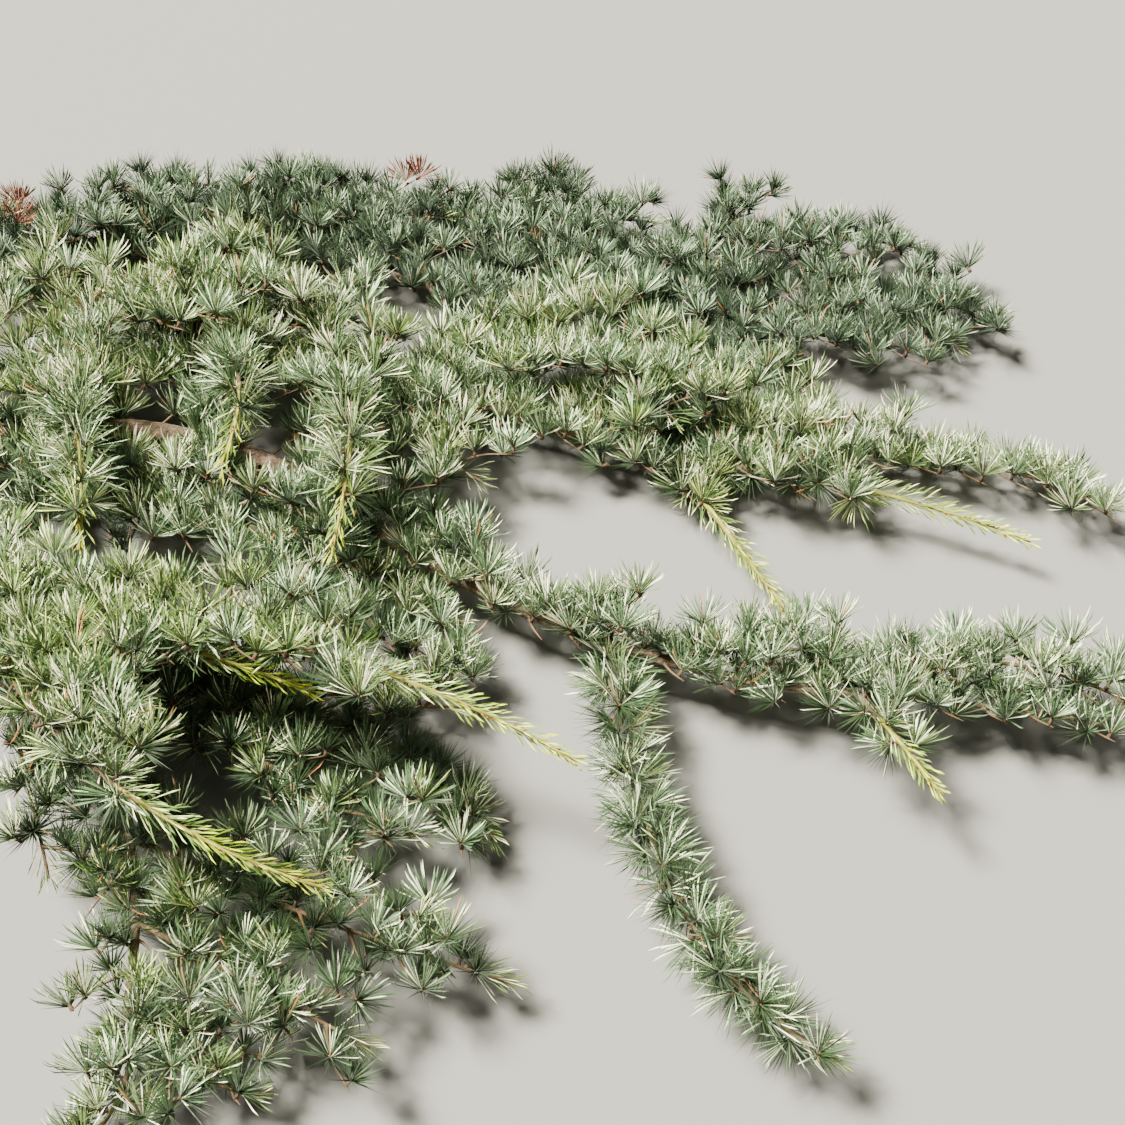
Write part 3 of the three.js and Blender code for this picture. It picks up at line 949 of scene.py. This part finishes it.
# A limb's path as a guide to bend a pole along, with its radius against the pole's own
def limb_guide(name, line, base):
    fine = refine(line, LIMB_RING)
    places = np.linspace(0, line["length"], len(fine["radius"]))
    collar = 1 + LIMB_COLLAR * np.exp(-places / (line["radius"][0] * 1.6)) * (name != "sawn_limb")
    curve = bpy.data.curves.new(name + "_guide", "CURVE")
    curve.dimensions = "3D"
    spline = curve.splines.new("POLY")
    spline.points.add(len(fine["radius"]) - 1)
    for knot, point, radius in zip(spline.points, fine["point"] * MM, fine["radius"] * collar):
        knot.co = (*point, 1)
        knot.radius = radius * MM / base
    guide = bpy.data.objects.new(name + "_guide", curve)
    bpy.context.scene.collection.objects.link(guide)
    return guide


# What raises the bark: the pattern, its kind, its scale and strength as shares of the limb's
# radius, and the level that stays in place
BARK_RELIEF = [
    ("limb_lumps", "CLOUDS", 1.6, 0.22, 0.5),
    ("bark_plates", "VORONOI", 0.5, 0.12, 0.4),
]


def relief(name, kind, scale):
    texture = bpy.data.textures.new(name, kind)
    texture.noise_scale = scale
    return texture


# A limb modelled as a straight pole along +X, cut into rings, with its ends rounded or sawn,
# its bark raised in lumps and plates, and then bent on to its line
def model_limb(name, line, finishes):
    length = line["length"] * MM
    base = line["radius"][0] * MM
    sawn = name == "sawn_limb"
    bpy.ops.object.select_all(action="DESELECT")
    bpy.ops.mesh.primitive_cylinder_add(
        vertices=16 if base > 0.007 else 12, radius=base, depth=length,
        location=(length / 2, 0, 0), rotation=(0, math.pi / 2, 0),
    )
    pole = bpy.context.object
    pole.name = name + "_bark"
    settle(pole)
    corners = pole.data.vertices
    edit_with(pole, "EDGE", lambda edge: abs(corners[edge.vertices[0]].co.x
                                             - corners[edge.vertices[1]].co.x) > length / 2)
    bpy.ops.mesh.subdivide(number_cuts=min(100, round(length / MM / LIMB_RING)) - 1)
    leave_edit()
    edit_with(pole, "FACE", lambda face: face.normal.x > 0.9)
    bpy.ops.mesh.inset(thickness=base * 0.2)
    bpy.ops.transform.translate(value=(base * 0.15, 0, 0))
    leave_edit()
    pole.data.materials.append(finishes["bark"])
    if sawn:
        edit_with(pole, "FACE", lambda face: face.normal.x < -0.9)
        bpy.ops.mesh.inset(thickness=BARK_RIM)
        bpy.ops.transform.translate(value=(SAW_DEPTH, 0, 0))
        leave_edit()
        pole.data.materials.append(finishes["sawn"])
        for face in pole.data.polygons:
            face.material_index = int(face.normal.x < -0.9 and len(face.vertices) > 4)
    apply_modifier(pole, "SUBSURF", subdivision_type="SIMPLE", levels=1, render_levels=1)
    barked = pole.vertex_groups.new(name="barked")
    barked.add([v.index for v in pole.data.vertices if v.co.x > 0.001], 1.0, "REPLACE")
    for form, kind, scale, strength, level in BARK_RELIEF:
        apply_modifier(
            pole, "DISPLACE", texture=relief(form, kind, base * scale),
            strength=base * strength, mid_level=level, vertex_group="barked",
        )
    guide = limb_guide(name, line, base)
    apply_modifier(pole, "CURVE", object=guide, deform_axis="POS_X")
    curve = guide.data
    bpy.data.objects.remove(guide)
    bpy.data.curves.remove(curve)
    pole.vertex_groups.clear()
    select_only(pole)
    bpy.ops.object.shade_smooth_by_angle(angle=math.radians(50))
    return pole


# The foliage of one part of the bough, as lists that are joined into pieces at the end
class Foliage:
    def __init__(self, room):
        self.room = room
        self.twigs = []
        self.spurs = []
        self.buds = []
        self.needles = []
        self.nodes = []

    def add_needles(self, tint, roots, ways, lengths, bows):
        number = TINT_NAMES.index(tint)
        self.needles.append((np.full(len(roots), number), roots, ways, lengths, bows))


# The part that a limb's foliage belongs to, by the first word of its name
def part_of(limb):
    part = limb.split("_")[0]
    return "middle" if part == "small" else part


def deal(shares, rng):
    names = list(shares)
    return names[rng.choice(len(names), p=list(shares.values()))]


# Whether a spot, seen from above, lies in one of some patches
def in_patch(spot, patches, reach):
    return any(math.dist(spot[:2], patch) < reach for patch in patches)


# One tuft: needles that open from the end of a spur, with a bud in their middle
def open_tuft(foliage, foot, out, axis, size, tint, lift, rng):
    spur = SPUR_LENGTH * rng.uniform(0.7, 1.3)
    root = foot + unit(out + axis) * spur
    if root[2] < LOWEST_ROOT:
        return
    foliage.spurs.append((foot - out * 0.5, unit(out + axis), spur + 0.6, SPUR_WIDTH))
    foliage.buds.append((root - axis * 0.4, axis, BUD_LENGTH, BUD_WIDTH))
    count = round(NEEDLES_OF_TUFT * min(1, size / NEEDLE) * rng.uniform(0.85, 1.15))
    order = np.arange(count)
    polar = np.radians(mix(INNER_TILT, SPREAD, np.sqrt((order + rng.random(count)) / count)))
    opened = polar / np.radians(SPREAD)
    turn = order * GOLDEN_TURN + rng.normal(0, 0.2, count)
    swing = outward(axis, turn[:, None])
    ways = np.cos(polar)[:, None] * axis + np.sin(polar)[:, None] * swing
    ways = unit(ways + SKY * lift + rng.normal(0, 0.1, (count, 3)))
    lengths = size * rng.uniform(0.7, 1.12, count) * mix(1.05, 0.9, opened)
    roots = root + swing * 0.5 + ways * 0.4
    bows = swing * (lengths * NEEDLE_BOW * opened)[:, None]
    dry = rng.random(count) < DRY_SHARE
    # Needles turned down, and a share at random, take a darker tint as painted shade
    painted_shade = ~dry & ((swing @ SKY < -0.5) | (rng.random(count) < SHADED_SHARE))
    plain = ~dry & ~painted_shade
    for kind, chosen in ((tint, plain), (DARKER.get(tint, "deep_shade"), painted_shade), ("dead", dry)):
        foliage.add_needles(kind, roots[chosen], ways[chosen], lengths[chosen], bows[chosen])


# Tufts along a line, each a golden turn on from the last
def place_tufts(foliage, line, start, end, step, arc, shares, rng):
    fine = arc.get("fine", 1)
    step *= fine
    whole = arc.get("round", False)
    upright = arc.get("upright", UPRIGHT)
    if "fresh" in arc:
        upright = FRESH_UPRIGHT
    if whole:
        upright = ROUND_UPRIGHT
    spin = rng.uniform(0, 2 * math.pi)
    place = start + step * rng.uniform(0.2, 0.8)
    while place < end:
        point, along, radius = pick(line, place / line["length"])
        out = outward(along, spin)
        up = float(out @ SKY)
        spin += GOLDEN_TURN + rng.normal(0, 0.15)
        place += step * rng.uniform(0.8, 1.2)
        spared = whole or "fresh" in arc or up >= UNDERSIDE
        if not spared and rng.random() < UNDERSIDE_BARE:
            continue
        if point[2] < BARE_TOP and in_patch(point, BARE_PATCHES, BARE_RANGE):
            continue
        axis = unit(out + SKY * upright + along * 0.3)
        tint = deal(shares, rng)
        # Pale tufts that turn down take a less pale tint, as painted shade
        if tint == "pale" and up < -0.3:
            tint = "blue"
        # Tufts under other wood mostly take a darker tint, as painted shade
        if foliage.room.covers(point) and rng.random() < COVER_SHADED:
            tint = DARKER.get(tint, "deep_shade")
        if in_patch(point, DEAD_PATCHES, DEAD_RANGE):
            tint = "rust"
        size = NEEDLE * fine * rng.uniform(0.88, 1.08)
        lift = 0.05 if whole or arc.get("nodding") else 0.25
        open_tuft(foliage, point + out * radius, out, axis, size, tint, lift, rng)


# Single needles along a shoot of this year, leaning forward, and shorter and further apart
# towards its tip
def place_singles(foliage, line, start, end, step, sizes, tints, arc, rng):
    count = max(6, round((end - start) / step))
    places = mix(start, end, np.linspace(0, 1, count) ** 1.25) + rng.uniform(-0.4, 0.4, count)
    shares = np.clip(places / line["length"], 0, 1)
    spins = np.arange(count) * GOLDEN_TURN + rng.normal(0, 0.2, count)
    picked = [pick(line, share) for share in shares]
    points, along, radius = (np.array(column) for column in zip(*picked))
    out = outward(along, spins[:, None])
    grown = np.linspace(0, 1, count)
    lean = mix(1.2, 2.3, grown)[:, None] * rng.uniform(0.75, 1.3, (count, 1))
    ways = unit(out + along * lean + SKY * 0.25 + rng.normal(0, 0.2, (count, 3)))
    lengths = mix(sizes[0], sizes[1], grown) * rng.uniform(0.65, 1.15, count) * arc.get("fine", 1)
    roots = points + out * (radius * 0.7)[:, None]
    bows = out * (lengths * 0.04)[:, None]
    for k, tint in enumerate(tints):
        chosen = np.floor(grown * len(tints) * 0.999).astype(int) == k
        foliage.add_needles(tint, roots[chosen], ways[chosen], lengths[chosen], bows[chosen])


# Small brown bud scales along a shoot of this year
def place_scales(foliage, line, start, end, rng):
    for place in np.arange(start, end, SCALE_STEP):
        point, along, radius = pick(line, place / line["length"])
        out = outward(along, rng.uniform(0, 2 * math.pi))
        foliage.buds.append(
            (point + out * radius * 0.7, unit(out + along * 1.5), SCALE_LENGTH, SCALE_WIDTH)
        )


# A stem with its tufts, and its tip or its fresh shoot with single needles
def dress_stem(foliage, line, arc, shares, rng):
    length = line["length"]
    fresh = arc.get("fresh")
    if fresh is None:
        bare = length - min(TIP_SHARE * length, TIP_LONGEST)
        step = TUFT_STEP * (ROUND_STEP if arc.get("round") else 1)
        place_tufts(foliage, line, FIRST_TUFT, bare, step, arc, shares, rng)
        # The tip needles of the back bough take its lighter tint of painted shade
        tints = ["half_shade" if "half_shade" in shares else "pale", "green"]
        place_singles(foliage, line, bare - 2, length, TIP_STEP, TIP_SIZES, tints, arc, rng)
    else:
        tufted = arc.get("tufted", mix(fresh, 1, 0.1)) * length
        step = TUFT_STEP * (NODDING_STEP if arc.get("nodding") else 1)
        place_tufts(foliage, line, FIRST_TUFT, tufted, step, arc, shares, rng)
        start = max(fresh * length - 6, 6)
        step = SINGLE_STEP * (NODDING_SINGLE_STEP if arc.get("nodding") else 1)
        place_singles(foliage, line, start, length, step, SINGLE_SIZES, FRESH_TINTS, arc, rng)
        place_scales(foliage, line, start, length, rng)


# The finish along a stem: old bark, then young, then that of this year's shoot
def finish_of_stem(fresh):
    def chosen(share):
        if fresh is not None and share >= fresh:
            return 2
        return 1 if share > 0.4 else 0
    return chosen


# Finer shoots with their tufts
def dress_shoots(foliage, shoots, arc, shares, rng):
    for shoot in shoots:
        foliage.twigs.append(skin(shoot, SHOOT_SIDES, SHOOT_CUSHIONS, lambda share: 1))
        end = shoot["length"] + 2
        place_tufts(foliage, shoot, FIRST_TUFT, end, SHOOT_TUFT_STEP, arc, shares, rng)


def dress_spray(foliage, spray, number):
    arc = dict(spray["arc"])
    arc["nodding"] = spray["name"].startswith("nodding")
    arc["fine"] = LIMBS[spray["limb"]].get("fine", 1)
    if arc["nodding"] or arc.get("round"):
        arc["fine"] *= LONGER_NEEDLE
    part = part_of(spray["limb"])
    arc["upright"] = LOWER_UPRIGHT if part == "lower" else UPRIGHT
    shares = SHARES[part]
    rng = np.random.default_rng(SEED_STEP + number)
    fresh = arc.get("fresh")
    stem = spray["stem"]
    foliage.nodes.append(spray["name"])
    foliage.twigs.append(skin(stem, STEM_SIDES, STEM_CUSHIONS, finish_of_stem(fresh)))
    dress_stem(foliage, stem, arc, shares, rng)
    plain = {key: value for key, value in arc.items() if key != "fresh"}
    for twig in spray["twigs"]:
        foliage.twigs.append(skin(twig, STEM_SIDES, STEM_CUSHIONS, lambda share: 1))
        dress_stem(foliage, twig, plain, shares, rng)
    until = fresh or SHOOTS_UNTIL
    _, longest, reach = DRESSING[spray["limb"]]
    if arc.get("round"):
        longest = SHOOT_SHORT
    for line in (stem, *spray["twigs"]):
        shoots = grow_shoots(
            spray["name"], line, until, longest, reach, spray["dice"], foliage.room
        )
        dress_shoots(foliage, shoots, plain, shares, rng)


# A limb's own tufts, its finer shoots and its longer side twigs
def dress_limb(foliage, name, line, number):
    arc = dict(fine=LIMBS[name].get("fine", 1))
    rng = np.random.default_rng(SEED_STEP * 2 + number)
    first, longest, reach = DRESSING[name]
    length = line["length"]
    shares = SHARES[part_of(name)]
    place_tufts(foliage, line, first * length, length, LIMB_TUFT_STEP, arc, shares, rng)
    dice = chance(SEED_STEP * 3 + number)
    shoots = grow_shoots(name, line, 1, longest, reach, dice, foliage.room)
    for limb, share, heading, rise, length in FILL_TWIGS:
        if limb == name:
            turn = sweep(share, heading, rise, length, FILL_BEND, FILL_LIFT)
            shoots.append(trace(pick(line, share)[0], turn, SHOOT_RADIUS))
    dress_shoots(foliage, shoots, arc, shares, rng)


# Keeps the needles that stay clear of wood, and turns up those that would pass the floor
def fit_needles(roots, ways, lengths, room):
    rise = np.maximum(ways[:, 2], np.minimum((LOWEST_TIP - roots[:, 2]) / lengths, STEEPEST))
    level = unit(ways[:, :2] + 1e-6)
    ways = np.column_stack([level * np.sqrt(1 - rise**2)[:, None], rise])
    keep = roots[:, 2] > LOWEST_NEEDLE
    for share in (0.5, 1.0):
        spots = roots + ways * (lengths * share)[:, None]
        for index in np.flatnonzero(keep):
            _, sample, far = room.tree.find(Vector(spots[index]))
            keep[index] = far > room.radii[sample] + WOOD_GAP
    tips = roots + ways * lengths[:, None]
    keep &= tips[:, 2] < cad_high[2] / MM + TOP_SPARE
    return ways, keep


# All the pieces of one part of the bough: its twigs, spurs, buds, and its needles by tint
def make_foliage(part, foliage, patterns, finishes, tints):
    # The twigs of the back bough take the darker finish of painted shade
    bark = [finishes["old"], finishes["shaded" if part == "back" else "young"], finishes["fresh"]]
    twigs = make_piece(part + "_twigs", join(foliage.twigs), bark, smooth=True)
    enter(twigs, foliage.nodes)
    for kind, rows in (("spur", foliage.spurs), ("bud", foliage.buds)):
        roots, ways, lengths, widths = (np.array(column) for column in zip(*rows))
        turns = stands(ways, lengths, widths, np.arange(len(rows)) * PEG_TURN)
        joined = scatter(patterns[kind], roots, turns)
        piece = make_piece(part + "_" + kind + "s", joined, [finishes[kind]], smooth=True)
        enter(piece, foliage.nodes)
    tint, roots, ways, lengths, bows = (
        np.concatenate(column) for column in zip(*foliage.needles)
    )
    ways, keep = fit_needles(roots, ways, lengths, foliage.room)
    young = np.isin(tint, [TINT_NAMES.index(name) for name in YOUNG])
    widths = NEEDLE_WIDTH * np.where(young, YOUNG_NEEDLE, 1)
    turns = stands(ways, lengths, widths, np.arange(len(roots)) * NEEDLE_TURN)
    for index, name in enumerate(TINT_NAMES):
        chosen = np.flatnonzero(keep & (tint == index))
        if len(chosen) == 0:
            continue
        kind = "slim_needle" if name in SLIM else "needle"
        joined = scatter(patterns[kind], roots[chosen], turns[chosen], bows[chosen])
        piece = make_piece(part + "_needles_" + name, joined, tints[name])
        if len(joined["faces"]) > MOST_TRIANGLES:
            raise ValueError(piece.name + " has too many triangles")
        enter(piece, foliage.nodes)


def make_camera():
    bpy.ops.object.camera_add(location=(0.117, -0.5075, 0.929), rotation=(math.radians(30), 0, 0))
    camera = bpy.context.object
    camera.data.lens = 50
    camera.data.sensor_width = 36
    camera.data.clip_start = 0.01
    camera.data.clip_end = 50
    bpy.context.scene.camera = camera


def make_floor():
    bpy.ops.object.select_all(action="DESELECT")
    bpy.ops.mesh.primitive_plane_add(size=40, location=(0, 0, 0))
    floor = bpy.context.object
    floor.name = "floor"
    floor.data.materials.append(plain_finish("floor_paint", "7b7a75", 0.9))


# A broad lamp from the upper left, and a pale even backdrop
def make_light():
    bpy.ops.object.light_add(type="SUN", location=(-0.95, 0.5, 1.65))
    sky = bpy.context.object
    sky.name = "sky_lamp"
    sky.data.energy = 25
    sky.data.angle = math.radians(13)
    sky.data.color = (1, 0.965, 0.86)
    sky.rotation_euler = (-sky.location).to_track_quat("-Z", "Y").to_euler()
    world = bpy.data.worlds.new("studio")
    bpy.context.scene.world = world
    world.use_nodes = True
    backdrop = world.node_tree.nodes["Background"]
    backdrop.inputs["Color"].default_value = (0.95, 0.94, 0.88, 1)
    backdrop.inputs["Strength"].default_value = 0.22


# The bloom and a painted highlight are on one side of a needle
def has_bloom_highlight(face):
    return face.center.x > 0.1


def model_patterns():
    return dict(
        needle=pattern_of(model_needle(), has_bloom_highlight),
        slim_needle=pattern_of(model_slim_needle(), has_bloom_highlight),
        spur=pattern_of(model_peg(4, 1.0, 0.7)),
        bud=pattern_of(model_peg(3, 1.1, 0.3)),
    )


make_camera()
make_floor()
make_light()
wood = wood_finishes()
needle_tints = needle_finishes()
limb_lines = trace_limbs()
sprays = trace_sprays(limb_lines)
room = Room(limb_lines, sprays)
for limb_name, limb_line in limb_lines.items():
    limb = model_limb(limb_name, limb_line, wood)
    enter(limb, [limb_name])
parts = {part: Foliage(room) for part in SHARES}
for number, spray in enumerate(sprays):
    dress_spray(parts[part_of(spray["limb"])], spray, number)
for number, (limb_name, limb_line) in enumerate(limb_lines.items()):
    dress_limb(parts[part_of(limb_name)], limb_name, limb_line, number)
patterns = model_patterns()
for part, foliage in parts.items():
    make_foliage(part, foliage, patterns, wood, needle_tints)
